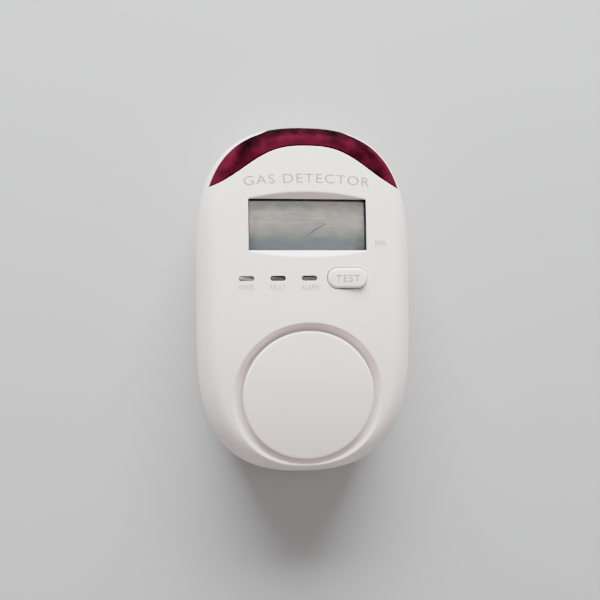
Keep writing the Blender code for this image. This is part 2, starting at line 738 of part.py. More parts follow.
def battery_cells():
    """Three AA cells, the middle one turned round, each pressed to its positive contact by a spring."""
    near = BAY_LOW_Y + 2 * GAP + CONTACT_THICKNESS
    far = BAY_HIGH_Y - 2 * GAP - CONTACT_THICKNESS
    room = SPRING_LENGTH + GAP
    for i, x in enumerate((-CELL_PITCH, 0.0, CELL_PITCH)):
        way = -1 if i == 1 else 1
        start = far if way < 0 else near
        cell = turned(f"battery_cell_{i + 1}", [
            (0.0, CELL_LENGTH), (2.75, CELL_LENGTH), (2.75, CELL_LENGTH - 1.3),
            (CELL_RADIUS - 0.5, CELL_LENGTH - 1.3), (CELL_RADIUS, CELL_LENGTH - 1.8),
            (CELL_RADIUS, 0.4), (CELL_RADIUS - 0.4, 0.0), (0.0, 0.0),
        ], 0.0, 0.0, "cell_jacket", steps=28)
        cell.location = metres((x, start + way * room, CELL_HEIGHT))
        cell.rotation_euler = (-way * math.pi / 2, 0.0, 0.0)
        battery_spring(f"battery_spring_{i + 1}", x, start, way)


def battery_contacts():
    """The two end contacts, whose tails rise through the bay's roof, and the two that bridge cells."""
    upper = (BAY_HIGH_Y - GAP - CONTACT_THICKNESS, BAY_HIGH_Y - GAP)
    lower = (BAY_LOW_Y + GAP, BAY_LOW_Y + GAP + CONTACT_THICKNESS)
    for name, x, span in (("positive", -CELL_PITCH, upper), ("negative", CELL_PITCH, lower)):
        blade = (x - CONTACT_REACH, x + CONTACT_REACH)
        contact = box(f"contact_{name}", blade, span, CONTACT_Z, "steel")
        join(contact, box(f"{name}_tail", (x - 1.5, x + 1.5), span, (CONTACT_Z[1] - 1.0, TAIL_TOP)))
    bridge = CELL_PITCH + CONTACT_REACH
    box("contact_bridge_upper", (-CONTACT_REACH, bridge), upper, CONTACT_Z, "steel")
    box("contact_bridge_lower", (-bridge, CONTACT_REACH), lower, CONTACT_Z, "steel")


def battery_spring(name, x, start_y, way):
    """A conical wire spring along Y, wide at the contact plate."""
    turns, per_turn = 3.5, 12
    wide, narrow = 4.2, 2.2
    count = int(turns * per_turn)
    points = []
    for i in range(count + 1):
        share = i / count
        radius = wide + (narrow - wide) * share
        angle = 2 * math.pi * turns * share
        y = start_y + way * (SPRING_WIRE + (SPRING_LENGTH - 2 * SPRING_WIRE) * share)
        points.append((x + radius * math.cos(angle), y, CELL_HEIGHT + radius * math.sin(angle)))
    tube(name, points, SPRING_WIRE, "steel", 1)


def battery_leads():
    """The two leads from the contacts' tails to the underside of the circuit board."""
    red = [
        (-15.0, 24.2, 19.2), (-14.2, 27.0, 19.3), (-11.0, 29.2, 19.5), (-8.0, 29.8, 19.7), (-6.8, 29.9, 20.1),
    ]
    black = [
        (15.0, -33.8, 19.2), (14.2, -36.5, 19.3), (11.0, -38.7, 19.5), (8.0, -39.3, 19.7), (6.8, -39.4, 20.1),
    ]
    for colour, route in (("red", red), ("black", black)):
        tube(f"battery_lead_{colour}", smooth_path(route, 4), LEAD_RADIUS, f"{colour}_wire", 2)


def screw(name, x, y, under_head, length, head_radius, head_height, points_up):
    """A pan-head screw with its point up or down from the plane under its head."""
    way = 1 if points_up else -1
    top = under_head - way * head_height
    shoulder = under_head - way * head_height / 2
    profile = [
        (0.0, top), (head_radius * 0.7, top), (head_radius, shoulder), (head_radius, under_head),
        (SCREW_RADIUS, under_head), (SCREW_RADIUS, under_head + way * (length - 1.2)),
        (0.0, under_head + way * length),
    ]
    turned(name, profile[::-1] if points_up else profile, x, y, "steel", steps=16)


def screws():
    for i, (x, y) in enumerate(boss_places()):
        screw(f"case_screw_{i + 1}", x, y, 8.7, 17.0, 2.7, 1.9, True)
    for i, side in enumerate((-1, 1)):
        screw(f"board_screw_{i + 1}", side * STANDOFF_X, 0.0, ON_BOARD, 7.0, 2.5, 1.5, False)


def main():
    clear_scene()
    front_cover(core())
    alarm_lens()
    sounder_cap()
    display()
    indicators()
    self_test_button()
    circuit_board()
    board_parts()
    rear_cover()
    battery_door()
    battery_cells()
    battery_contacts()
    battery_leads()
    screws()


main()
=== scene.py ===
"""Looks of the battery-powered carbon monoxide detector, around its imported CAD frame.

The detector lies on its back on a pale floor, face up, with its red lens towards +Y. Sizes and places are
written in millimetres and made metres when a mesh is made.
"""

import math

import bmesh
import bpy
import numpy as np
from mathutils import Matrix, Vector
from mathutils.geometry import delaunay_2d_cdt


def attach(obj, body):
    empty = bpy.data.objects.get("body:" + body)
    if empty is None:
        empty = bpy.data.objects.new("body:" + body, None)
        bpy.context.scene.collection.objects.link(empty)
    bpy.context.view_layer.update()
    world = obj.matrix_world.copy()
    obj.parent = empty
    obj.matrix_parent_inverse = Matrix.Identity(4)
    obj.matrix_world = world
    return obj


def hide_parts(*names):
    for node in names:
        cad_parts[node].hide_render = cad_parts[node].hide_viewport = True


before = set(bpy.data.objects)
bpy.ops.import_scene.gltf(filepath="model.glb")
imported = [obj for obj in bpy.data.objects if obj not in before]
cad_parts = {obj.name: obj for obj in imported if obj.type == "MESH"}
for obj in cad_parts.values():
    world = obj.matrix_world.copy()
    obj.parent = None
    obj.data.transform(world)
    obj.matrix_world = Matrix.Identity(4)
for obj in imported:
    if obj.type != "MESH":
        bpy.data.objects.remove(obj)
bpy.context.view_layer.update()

MM = 0.001

# The case's outer form, as the CAD has it
HALF_WIDTH = 36.0
HALF_LENGTH = 57.5
OUTLINE_POWER_X = 2.5
OUTLINE_POWER_Y = 4.0
WALL_TOP = 19.0
COVER_LOW = 16.15
FACE_HEIGHT = 39.6
EDGE_ROLL = 8.0
CROWN_RADIUS_X = 120.0
CROWN_RADIUS_TOP = 500.0
CROWN_RADIUS_BOTTOM = 220.0
GAP = 0.3

# The rolled edge and the wall below it, laid out flat: how wide each is on the flat layout
ROLL_LAID = 14.0
WALL_LAID = 3.0
LAYOUT_LOW = EDGE_ROLL - ROLL_LAID - WALL_LAID
FEATURES_FROM = EDGE_ROLL - ROLL_LAID * 0.75

# The front surface: its thickness, and the lip that closes over the joint with the rear cover
SKIN = 0.9
LENS_SKIN = 1.4
LIP_DEPTH = 0.25
LIP_START = 0.86
LIP_SPAN = 0.14
FAR = 100.0

# Features of the face
SOUNDER_Y = -30.3
DISC_RADIUS = 20.6
DISC_SUNK = 0.5
DISC_CROWN = 0.35
DISC_THICKNESS = 2.0
DISH_RIM_RADIUS = 23.3
DISH_Y = -30.6
DISH_FLOOR_RADIUS = 20.0
DISH_DEPTH = 3.8
DISH_HOLLOW = 1.2
DISH_HOLLOW_UP = 1.1
DISH_BLEND = 1.0
DISH_OPENING = 17.0
PIN_CIRCLE = 18.0
DISPLAY_Y = 23.2
DISPLAY_HALF_WIDTH = 18.4
DISPLAY_HALF_HEIGHT = 8.05
DISPLAY_PLANE = 37.5
DISPLAY_SLOPE = DISPLAY_Y / CROWN_RADIUS_TOP
RECESS_RISE = 3.0 / 4.2
RECESS_SIDE_RISE = 6.0
RECESS_BLEND = 0.22
OPENING_ROUND = 0.12
WINDOW_HALF_WIDTH = 19.7
WINDOW_HALF_HEIGHT = 9.35
WINDOW_FRONT = 1.1
WINDOW_BACK = 2.3
# How far the dark ring of painted shade reaches in under the window's edge
SHADE_RING_BORDER = 1.7
INDICATOR_Y = 6.5
INDICATOR_X = {"power": -19.1, "fault": -9.5, "alarm": 0.1}
SLOT_LENGTH = 4.8
SLOT_WIDTH = 1.65
SLOT_ROUND = 0.18
BUTTON_X = 12.0
BUTTON_Y = 6.5
BUTTON_LENGTH = 12.4
BUTTON_WIDTH = 6.2
BUTTON_TOP = 39.8
BUTTON_CROWN = 0.06
BUTTON_HOLE_ROUND = 0.3
STEM_LOW = 28.05
STEM_RADIUS = 2.0
FLANGE_LOW = 34.4
FLANGE_HIGH = 35.4
FLANGE_LENGTH = 15.4
FLANGE_WIDTH = 8.4
LENS_PEAK_Y = 47.8
LENS_TIP_X = 30.4
LENS_TIP_Y = 36.1
LENS_EDGE_LOW = 19.3
LENS_EDGE_RISE = 12.5
LENS_EDGE_START = 6.0
LENS_EDGE_REACH = 15.0
LENS_SEAM = 0.1
COVER_SEAM_ROUND = 0.25
LENS_SEAM_ROUND = 0.35
REAR_TOP = 15.85
REAR_DRAFT = 1.2
REAR_ROUND = 2.2
INK_PROUD = 0.025
INK_SUNK = 0.03

# Where the cells' sleeves start and end along Y: the middle cell is turned round
CELL_ENDS = (-28.0, 24.0)
TURNED_CELL_ENDS = (18.5, -33.5)


# ---------------------------------------------------------------- materials

def new_material(name):
    made = bpy.data.materials.new(name)
    made.use_nodes = True
    return made, made.node_tree.nodes, made.node_tree.links, made.node_tree.nodes["Principled BSDF"]


def noise(nodes, links, coordinates, scale, detail=3.0, stretch=(1, 1, 1)):
    """A noise texture's value, in units of 1 / scale metres, stretched along the axes."""
    mapping = nodes.new("ShaderNodeMapping")
    mapping.inputs["Scale"].default_value = stretch
    links.new(coordinates, mapping.inputs["Vector"])
    texture = nodes.new("ShaderNodeTexNoise")
    texture.inputs["Scale"].default_value = scale
    texture.inputs["Detail"].default_value = detail
    links.new(mapping.outputs["Vector"], texture.inputs["Vector"])
    return texture.outputs["Fac"]


def ramp(nodes, links, value, stops):
    """Colours blended between (position, colour) stops."""
    made = nodes.new("ShaderNodeValToRGB")
    elements = made.color_ramp.elements
    while len(elements) < len(stops):
        elements.new(0.5)
    for element, (position, colour) in zip(elements, stops):
        element.position = position
        element.color = (*colour, 1.0)
    links.new(value, made.inputs["Fac"])
    return made.outputs["Color"]


def spread(nodes, links, value, low, high):
    """A 0 to 1 value spread between low and high."""
    made = nodes.new("ShaderNodeMapRange")
    made.inputs["From Min"].default_value = 0.3
    made.inputs["From Max"].default_value = 0.7
    made.inputs["To Min"].default_value = low
    made.inputs["To Max"].default_value = high
    links.new(value, made.inputs["Value"])
    return made.outputs["Result"]


def bump(nodes, links, value, strength, distance, shader):
    made = nodes.new("ShaderNodeBump")
    made.inputs["Strength"].default_value = strength
    made.inputs["Distance"].default_value = distance * MM
    links.new(value, made.inputs["Height"])
    links.new(made.outputs["Normal"], shader.inputs["Normal"])


def moulded(name, colour, roughness, grain=2400.0, grain_depth=0.012, tone=0.03, coat=0.0):
    """Injection-moulded plastic: a fine spark-eroded grain, and slow drifts of tone and gloss."""
    made, nodes, links, shader = new_material(name)
    place = nodes.new("ShaderNodeTexCoord").outputs["Object"]
    drift = noise(nodes, links, place, 60.0, 4.0)
    dark = tuple(c * (1 - tone) for c in colour)
    links.new(ramp(nodes, links, drift, [(0.3, dark), (0.7, colour)]), shader.inputs["Base Color"])
    rubbed = noise(nodes, links, place, 180.0, 5.0)
    links.new(spread(nodes, links, rubbed, roughness - 0.05, roughness + 0.06), shader.inputs["Roughness"])
    shader.inputs["Coat Weight"].default_value = coat
    bump(nodes, links, noise(nodes, links, place, grain, 2.0), 0.35, grain_depth, shader)
    return made


def ruby_lens():
    """Clouded dark ruby plastic with painted light: nearly black at the case's edge as painted shade, and
    redder at its sides and on the face as a painted highlight.
    """
    made, nodes, links, shader = new_material("ruby_lens")
    place = nodes.new("ShaderNodeTexCoord").outputs["Object"]
    split = nodes.new("ShaderNodeSeparateXYZ")
    links.new(place, split.inputs["Vector"])

    def share(value, low, high):
        made_range = nodes.new("ShaderNodeMapRange")
        made_range.inputs["From Min"].default_value = low * MM
        made_range.inputs["From Max"].default_value = high * MM
        links.new(value, made_range.inputs["Value"])
        return made_range.outputs["Result"]

    def combined(operation, first, second):
        node = nodes.new("ShaderNodeMath")
        node.operation = operation
        for socket, value in zip(node.inputs, (first, second)):
            if isinstance(value, float):
                socket.default_value = value
            else:
                links.new(value, socket)
        return node.outputs["Value"]

    up = share(split.outputs["Z"], 22.0, 37.5)
    across = share(combined("ABSOLUTE", split.outputs["X"], 0.0), 12.0, 27.0)
    cloud = noise(nodes, links, place, 190.0, 4.0, (1, 1, 0.6))
    # Painted light: the colour is lighter high on the face and out at the sides, and nearly black low down
    # at the case's edge as painted shade.
    painted_light = combined("MAXIMUM", combined("POWER", up, 4.0), combined("MULTIPLY", across, 0.95))
    painted_light = combined("ADD", painted_light, combined("MULTIPLY", combined("SUBTRACT", cloud, 0.5), 1.1))
    stops = [
        (0.0, (0.0005, 0.0002, 0.0003)), (0.3, (0.0035, 0.0003, 0.0010)), (0.6, (0.018, 0.0012, 0.0044)),
        (0.95, (0.052, 0.0042, 0.0125)),
    ]
    links.new(ramp(nodes, links, painted_light, stops), shader.inputs["Base Color"])
    shader.inputs["Roughness"].default_value = 0.4
    shader.inputs["Specular IOR Level"].default_value = 0.002
    ribs = noise(nodes, links, place, 1400.0, 2.0, (1, 1, 0.4))
    bump(nodes, links, ribs, 0.25, 0.03, shader)
    return made


def display_glass():
    """A blank reflective liquid crystal: grey-green, with a painted reflection that is pale and warm at the
    top and darker and bluer low down, and faint bands and blotches.
    """
    made, nodes, links, shader = new_material("display_glass")
    place = nodes.new("ShaderNodeTexCoord").outputs["Object"]
    split = nodes.new("ShaderNodeSeparateXYZ")
    links.new(place, split.inputs["Vector"])
    # Painted reflection: a ramp from dark blue at the bottom of the opening to pale warm grey at its top.
    height = nodes.new("ShaderNodeMapRange")
    height.inputs["From Min"].default_value = (DISPLAY_Y - DISPLAY_HALF_HEIGHT) * MM
    height.inputs["From Max"].default_value = (DISPLAY_Y + DISPLAY_HALF_HEIGHT) * MM
    links.new(split.outputs["Y"], height.inputs["Value"])
    stops = [
        (0.0, (0.050, 0.062, 0.074)), (0.22, (0.080, 0.092, 0.098)), (0.42, (0.23, 0.22, 0.195)),
        (0.7, (0.42, 0.39, 0.345)), (1.0, (0.47, 0.455, 0.42)),
    ]
    base = ramp(nodes, links, height.outputs["Result"], stops)
    blotch = noise(nodes, links, place, 330.0, 4.0, (0.8, 1.5, 1))
    tint = ramp(nodes, links, blotch, [(0.42, (0.42, 0.44, 0.46)), (0.6, (0.66, 0.60, 0.53))])
    mix = nodes.new("ShaderNodeMix")
    mix.data_type = "RGBA"
    mix.blend_type = "OVERLAY"
    mix.inputs["Factor"].default_value = 0.8
    links.new(base, mix.inputs[6])
    links.new(tint, mix.inputs[7])
    streak = noise(nodes, links, place, 300.0, 2.0, (0.15, 9, 1))
    lines = ramp(nodes, links, streak, [(0.35, (0.40, 0.40, 0.40)), (0.65, (0.60, 0.60, 0.60))])
    fine = nodes.new("ShaderNodeMix")
    fine.data_type = "RGBA"
    fine.blend_type = "OVERLAY"
    fine.inputs["Factor"].default_value = 0.6
    links.new(mix.outputs[2], fine.inputs[6])
    links.new(lines, fine.inputs[7])
    links.new(fine.outputs[2], shader.inputs["Base Color"])
    shader.inputs["Roughness"].default_value = 0.28
    shader.inputs["Coat Weight"].default_value = 0.3
    shader.inputs["Coat Roughness"].default_value = 0.1
    return made


def clear_plastic():
    made, nodes, links, shader = new_material("clear_plastic")
    place = nodes.new("ShaderNodeTexCoord").outputs["Object"]
    shader.inputs["Base Color"].default_value = (0.93, 0.95, 0.95, 1.0)
    shader.inputs["Transmission Weight"].default_value = 1.0
    shader.inputs["IOR"].default_value = 1.3
    scuffs = noise(nodes, links, place, 500.0, 6.0)
    links.new(spread(nodes, links, scuffs, 0.03, 0.09), shader.inputs["Roughness"])
    return made


def tinted_lens(name, colour):
    """A small moulded light-pipe end: glossy, and a little cloudy inside."""
    made, nodes, links, shader = new_material(name)
    place = nodes.new("ShaderNodeTexCoord").outputs["Object"]
    cloud = noise(nodes, links, place, 900.0, 3.0)
    dark = tuple(c * 0.72 for c in colour)
    links.new(ramp(nodes, links, cloud, [(0.35, dark), (0.65, colour)]), shader.inputs["Base Color"])
    shader.inputs["Roughness"].default_value = 0.3
    shader.inputs["Specular IOR Level"].default_value = 0.3
    bump(nodes, links, cloud, 0.2, 0.02, shader)
    return made


def brushed(name, colour, roughness=0.32):
    """Plated or drawn metal, with fine marks along X."""
    made, nodes, links, shader = new_material(name)
    place = nodes.new("ShaderNodeTexCoord").outputs["Object"]
    marks = noise(nodes, links, place, 900.0, 4.0, (0.2, 2, 2))
    dark = tuple(c * 0.85 for c in colour)
    links.new(ramp(nodes, links, marks, [(0.35, dark), (0.65, colour)]), shader.inputs["Base Color"])
    links.new(spread(nodes, links, marks, roughness - 0.07, roughness + 0.1), shader.inputs["Roughness"])
    shader.inputs["Metallic"].default_value = 1.0
    bump(nodes, links, marks, 0.2, 0.01, shader)
    return made


def cell_jacket(name, negative_y, positive_y):
    """A cell's plain dark sleeve, with a paler band at its positive end."""
    made, nodes, links, shader = new_material(name)
    place = nodes.new("ShaderNodeTexCoord").outputs["Object"]
    split = nodes.new("ShaderNodeSeparateXYZ")
    links.new(place, split.inputs["Vector"])
    along = nodes.new("ShaderNodeMapRange")
    along.inputs["From Min"].default_value = negative_y * MM
    along.inputs["From Max"].default_value = positive_y * MM
    links.new(split.outputs["Y"], along.inputs["Value"])
    bands = ramp(nodes, links, along.outputs["Result"], [
        (0.0, (0.03, 0.034, 0.04)), (0.70, (0.035, 0.04, 0.05)),
        (0.72, (0.45, 0.30, 0.12)), (1.0, (0.5, 0.34, 0.14)),
    ])
    links.new(bands, shader.inputs["Base Color"])
    shader.inputs["Metallic"].default_value = 0.3
    scuffs = noise(nodes, links, place, 400.0, 5.0)
    links.new(spread(nodes, links, scuffs, 0.25, 0.42), shader.inputs["Roughness"])
    return made


def solder_mask():
    """Green circuit board, with the tracks under its mask a little paler."""
    made, nodes, links, shader = new_material("solder_mask")
    place = nodes.new("ShaderNodeTexCoord").outputs["Object"]
    brick = nodes.new("ShaderNodeTexBrick")
    brick.inputs["Scale"].default_value = 260.0
    brick.inputs["Mortar Size"].default_value = 0.06
    brick.inputs["Color1"].default_value = (0.012, 0.10, 0.045, 1)
    brick.inputs["Color2"].default_value = (0.016, 0.13, 0.055, 1)
    brick.inputs["Mortar"].default_value = (0.04, 0.24, 0.10, 1)
    links.new(place, brick.inputs["Vector"])
    links.new(brick.outputs["Color"], shader.inputs["Base Color"])
    shader.inputs["Roughness"].default_value = 0.35
    shader.inputs["Coat Weight"].default_value = 0.4
    return made


def pale_floor():
    made, nodes, links, shader = new_material("pale_floor")
    place = nodes.new("ShaderNodeTexCoord").outputs["Object"]
    drift = noise(nodes, links, place, 9.0, 3.0)
    links.new(
        ramp(nodes, links, drift, [(0.3, (0.355, 0.355, 0.36)), (0.7, (0.37, 0.37, 0.37))]),
        shader.inputs["Base Color"],
    )
    shader.inputs["Roughness"].default_value = 0.85
    return made


# ---------------------------------------------------------------- the case's surface

def crown(y):
    """The face's height along its middle line."""
    radius = np.where(y > 0, CROWN_RADIUS_TOP, CROWN_RADIUS_BOTTOM)
    return FACE_HEIGHT - y * y / (2 * radius)


def face_height(x, y):
    return crown(y) - x * x / (2 * CROWN_RADIUS_X)


def outline_way(turns):
    """Unit outline of the case at some turns about its middle."""
    across, along = np.cos(turns), np.sin(turns)
    return (
        np.sign(across) * np.abs(across) ** (2 / OUTLINE_POWER_X),
        np.sign(along) * np.abs(along) ** (2 / OUTLINE_POWER_Y),
    )


def inset_of(x, y):
    """How far inside the case's outline a point lies, counted along the family of nested outlines."""
    low = np.full(np.shape(x), -30.0)
    high = np.full(np.shape(x), HALF_WIDTH - 0.01)
    for _ in range(48):
        middle = (low + high) / 2
        inside = (
            np.abs(x / (HALF_WIDTH - middle)) ** OUTLINE_POWER_X
            + np.abs(y / (HALF_LENGTH - middle)) ** OUTLINE_POWER_Y
        ) < 1
        low = np.where(inside, middle, low)
        high = np.where(inside, high, middle)
    return (low + high) / 2


def scaled(x, y, inset_from, inset_to):
    return (
        x * (HALF_WIDTH - inset_to) / (HALF_WIDTH - inset_from),
        y * (HALF_LENGTH - inset_to) / (HALF_LENGTH - inset_from),
    )


def roll_angle(laid):
    return np.clip(1 - (EDGE_ROLL - laid) / ROLL_LAID, 0, 1) * math.pi / 2


def lay_flat(x, y):
    """Where the surface point above (x, y) lies on the flat layout."""
    inset = inset_of(x, y)
    angle = np.arccos(np.clip(1 - inset / EDGE_ROLL, 0, 1))
    laid = np.where(inset >= EDGE_ROLL, inset, EDGE_ROLL - ROLL_LAID * (1 - angle / (math.pi / 2)))
    return scaled(x, y, inset, laid)


def smooth_min(a, b, width):
    """The smaller of two heights, rounded over where they cross."""
    near = np.maximum(width - np.abs(a - b), 0) / width
    return np.minimum(a, b) - near * near * width / 4


def obround_distance(x, y, middle_x, middle_y, length, width):
    """Distance outside an obround's outline; negative inside."""
    along = np.maximum(np.abs(x - middle_x) - (length - width) / 2, 0)
    return np.hypot(along, y - middle_y) - width / 2


def window_distance(x, y):
    """Distance outside the display opening's slightly rounded rectangle; negative inside."""
    corner = 0.35
    over_x = np.abs(x) - DISPLAY_HALF_WIDTH + corner
    over_y = np.abs(y - DISPLAY_Y) - DISPLAY_HALF_HEIGHT + corner
    outside = np.hypot(np.maximum(over_x, 0), np.maximum(over_y, 0))
    return outside + np.minimum(np.maximum(over_x, over_y), 0) - corner


def rounded_drop(distance, radius):
    """How far an edge's round has fallen at a distance from the edge."""
    short = np.clip(radius - distance, 0, radius * 0.98)
    return radius - np.sqrt(radius * radius - short * short)


def display_plane(y):
    return DISPLAY_PLANE - (y - DISPLAY_Y) * DISPLAY_SLOPE


def dish_depth(r, up):
    """Depth of the sounder's dish: a flat floor, and a wall that is hollower at its upper side."""
    share = np.maximum(r - DISH_FLOOR_RADIUS, 0) / (DISH_RIM_RADIUS - DISH_FLOOR_RADIUS)
    return DISH_DEPTH * (1 - share ** (DISH_HOLLOW + DISH_HOLLOW_UP * np.maximum(up, 0)))


def surface(flat_x, flat_y, seam_distance=None, seam_round=0.0):
    """Points of the case's finished front surface from points of the flat layout."""
    laid = inset_of(flat_x, flat_y)
    angle = roll_angle(laid)
    inset = np.where(laid >= EDGE_ROLL, laid, EDGE_ROLL * (1 - np.cos(angle)))
    below = np.clip((EDGE_ROLL - ROLL_LAID - laid) / WALL_LAID, 0, 1)
    lip = LIP_DEPTH * np.clip((below - LIP_START) / LIP_SPAN, 0, 1) ** 2
    x, y = scaled(flat_x, flat_y, laid, inset + lip)
    z = WALL_TOP + (face_height(x, y) - WALL_TOP) * np.sin(angle)
    z = z - below * (WALL_TOP - COVER_LOW)
    flat = laid > FEATURES_FROM
    r = np.hypot(x, y - DISH_Y)
    dish = face_height(x, y) - dish_depth(r, (y - DISH_Y) / np.maximum(r, 1))
    z = np.where(flat & (r < DISH_RIM_RADIUS + 3), smooth_min(z, dish, DISH_BLEND), z)
    rise_y = (np.abs(y - DISPLAY_Y) - DISPLAY_HALF_HEIGHT) * RECESS_RISE
    rise_x = (np.abs(x) - DISPLAY_HALF_WIDTH) * RECESS_SIDE_RISE
    recess = display_plane(y) + np.maximum(np.maximum(rise_y, rise_x), 0)
    z = np.where(flat & (y > 0), smooth_min(z, recess, RECESS_BLEND), z)
    z = z - rounded_drop(window_distance(x, y), OPENING_ROUND)
    z = z - rounded_drop(button_distance(x, y) - GAP, BUTTON_HOLE_ROUND)
    for middle_x in INDICATOR_X.values():
        z = z - rounded_drop(slot_distance(x, y, middle_x), SLOT_ROUND)
    if seam_distance is not None:
        z = z - rounded_drop(seam_distance, seam_round) * np.sin(np.maximum(angle, 0.6))
    return x, y, z


def button_distance(x, y):
    return obround_distance(x, y, BUTTON_X, BUTTON_Y, BUTTON_LENGTH, BUTTON_WIDTH)


def slot_distance(x, y, middle_x):
    return obround_distance(x, y, middle_x, INDICATOR_Y, SLOT_LENGTH, SLOT_WIDTH)


def height_at(x, y):
    """The finished surface's height above a point of the face."""
    return surface(*lay_flat(np.asarray(x, float), np.asarray(y, float)))[2]


# ---------------------------------------------------------------- the lens's outline

def lens_inner_edge(x):
    """The lens's inner edge: a broad arch in the middle that sweeps out to the two tips."""
    share = np.minimum(np.abs(x) / LENS_TIP_X, 1.0)
    fall = (1 - np.cos(math.pi * share ** 1.37)) / 2
    beyond = np.maximum(0.0, np.abs(x) - LENS_TIP_X)
    return LENS_PEAK_Y - (LENS_PEAK_Y - LENS_TIP_Y) * fall - 0.2 * beyond


def lens_lower_edge(x):
    """Height of the lens's lower edge."""
    share = np.clip((np.abs(x) - LENS_EDGE_START) / (LENS_EDGE_REACH - LENS_EDGE_START), 0, 1)
    beyond = np.maximum(0.0, np.abs(x) - LENS_EDGE_REACH)
    return LENS_EDGE_LOW + LENS_EDGE_RISE * share * share * (3 - 2 * share) - 0.11 * beyond


def plain_height(flat_x, flat_y):
    """Real x and height of the case's plain rolled form at a point of the flat layout."""
    laid = inset_of(flat_x, flat_y)
    angle = roll_angle(laid)
    inset = np.where(laid >= EDGE_ROLL, laid, EDGE_ROLL * (1 - np.cos(angle)))
    x, y = scaled(flat_x, flat_y, laid, inset)
    below = np.clip((EDGE_ROLL - ROLL_LAID - laid) / WALL_LAID, 0, 1)
    return x, WALL_TOP + (face_height(x, y) - WALL_TOP) * np.sin(angle) - below * (WALL_TOP - COVER_LOW)


def lens_outline(steps=260):
    """The lens's outline on the flat layout, as one closed loop of points."""
    x = np.linspace(0, LENS_TIP_X + 2.5, 1200)
    y = lens_inner_edge(x)
    flat_x, flat_y = lay_flat(x, y)
    above = plain_height(flat_x, flat_y)[1] > lens_lower_edge(x)
    tip = x[above].max()
    x = np.linspace(-tip, tip, steps)
    inner = np.stack(lay_flat(x, lens_inner_edge(x)), axis=1)
    tip_laid = float(inset_of(*inner[-1]))
    start = inner[-1] / (HALF_WIDTH - tip_laid, HALF_LENGTH - tip_laid)
    turn = math.atan2(start[1] ** (OUTLINE_POWER_Y / 2), start[0] ** (OUTLINE_POWER_X / 2))
    way_x, way_y = outline_way(np.linspace(turn, math.pi - turn, steps))
    low = np.full(steps, LAYOUT_LOW)
    high = np.full(steps, EDGE_ROLL)
    for _ in range(40):
        laid = (low + high) / 2
        real_x, z = plain_height((HALF_WIDTH - laid) * way_x, (HALF_LENGTH - laid) * way_y)
        under = z < lens_lower_edge(real_x)
        low = np.where(under, laid, low)
        high = np.where(under, high, laid)
    laid = (low + high) / 2
    outer = np.stack(((HALF_WIDTH - laid) * way_x, (HALF_LENGTH - laid) * way_y), axis=1)
    loop = np.concatenate([inner, outer])
    keep = np.hypot(*(loop - np.roll(loop, 1, axis=0)).T) > 0.02
    return loop[keep]


def resampled(loop, spacing):
    """Evenly spaced points along a closed loop."""
    closed = np.concatenate([loop, loop[:1]])
    lengths = np.concatenate([[0], np.cumsum(np.hypot(*np.diff(closed, axis=0).T))])
    at = np.linspace(0, lengths[-1], int(lengths[-1] / spacing), endpoint=False)
    return np.stack([np.interp(at, lengths, closed[:, i]) for i in (0, 1)], axis=1)


def loop_distance(points, loop):
    """Signed distance of points from a closed loop: negative inside."""
    distance = np.full(len(points), FAR)
    start, along = loop, np.roll(loop, -1, axis=0) - loop
    squared = (along ** 2).sum(axis=1)
    near = np.flatnonzero(points[:, 1] > loop[:, 1].min() - 2)
    for some in np.array_split(near, 1 + len(near) // 4000):
        part = points[some][:, None, :]
        share = np.clip(((part - start) * along).sum(axis=2) / squared, 0, 1)
        gap = part - (start + share[..., None] * along)
        away = np.sqrt((gap ** 2).sum(axis=2).min(axis=1))
        straddles = (start[:, 1] > part[..., 1]) != ((start + along)[:, 1] > part[..., 1])
        rise = np.where(along[:, 1] == 0, 1, along[:, 1])
        crossing = start[:, 0] + (part[..., 1] - start[:, 1]) * along[:, 0] / rise
        inside = (straddles & (part[..., 0] < crossing)).sum(axis=1) % 2 == 1
        distance[some] = np.where(inside, -away, away)
    return distance


def offset_loop(loop, distance):
    """The loop moved outwards by a distance, or inwards by a negative one."""
    ahead = np.roll(loop, -1, axis=0) - np.roll(loop, 1, axis=0)
    normal = np.stack([ahead[:, 1], -ahead[:, 0]], axis=1)
    normal /= np.hypot(*normal.T)[:, None]
    area = (loop[:, 0] * np.roll(loop[:, 1], -1) - loop[:, 1] * np.roll(loop[:, 0], -1)).sum()
    return loop + normal * distance * (1 if area > 0 else -1)


# ---------------------------------------------------------------- meshes

def finish_piece(name, mesh, material, body, *replaced, sharp=32.0):
    mesh.shade_smooth()
    mesh.set_sharp_from_angle(angle=math.radians(sharp))
    obj = bpy.data.objects.new(name, mesh)
    bpy.context.scene.collection.objects.link(obj)
    mesh.materials.append(material)
    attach(obj, body)
    if replaced:
        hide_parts(*replaced)
    return obj


def mesh_of(name, points, faces):
    """A mesh in metres from points in millimetres."""
    mesh = bpy.data.meshes.new(name)
    mesh.from_pydata([Vector(p) * MM for p in points], [], faces)
    return mesh


def from_bmesh(bm, name):
    bmesh.ops.recalc_face_normals(bm, faces=bm.faces)
    bmesh.ops.scale(bm, verts=bm.verts, vec=(MM, MM, MM))
    mesh = bpy.data.meshes.new(name)
    bm.to_mesh(mesh)
    bm.free()
    return mesh


def ring_points(middle, radius, count):
    turns = np.linspace(0, 2 * math.pi, count, endpoint=False)
    return np.stack([middle[0] + radius * np.cos(turns), middle[1] + radius * np.sin(turns)], axis=1)


def outline_points(laid, count):
    """One nested outline on the flat layout."""
    way = outline_way(np.linspace(0, 2 * math.pi, 720, endpoint=False))
    loop = np.stack([(HALF_WIDTH - laid) * way[0], (HALF_LENGTH - laid) * way[1]], axis=1)
    return resampled(loop, 2 * math.pi * (HALF_LENGTH - laid) * 0.82 / count)


def obround_points(middle_x, middle_y, length, width, spacing):
    turns = np.linspace(0, 2 * math.pi, 720, endpoint=False)
    side = np.sign(np.cos(turns)) * (length - width) / 2
    loop = np.stack([
        middle_x + side + width / 2 * np.cos(turns), middle_y + width / 2 * np.sin(turns)
    ], axis=1)
    return resampled(loop, spacing)


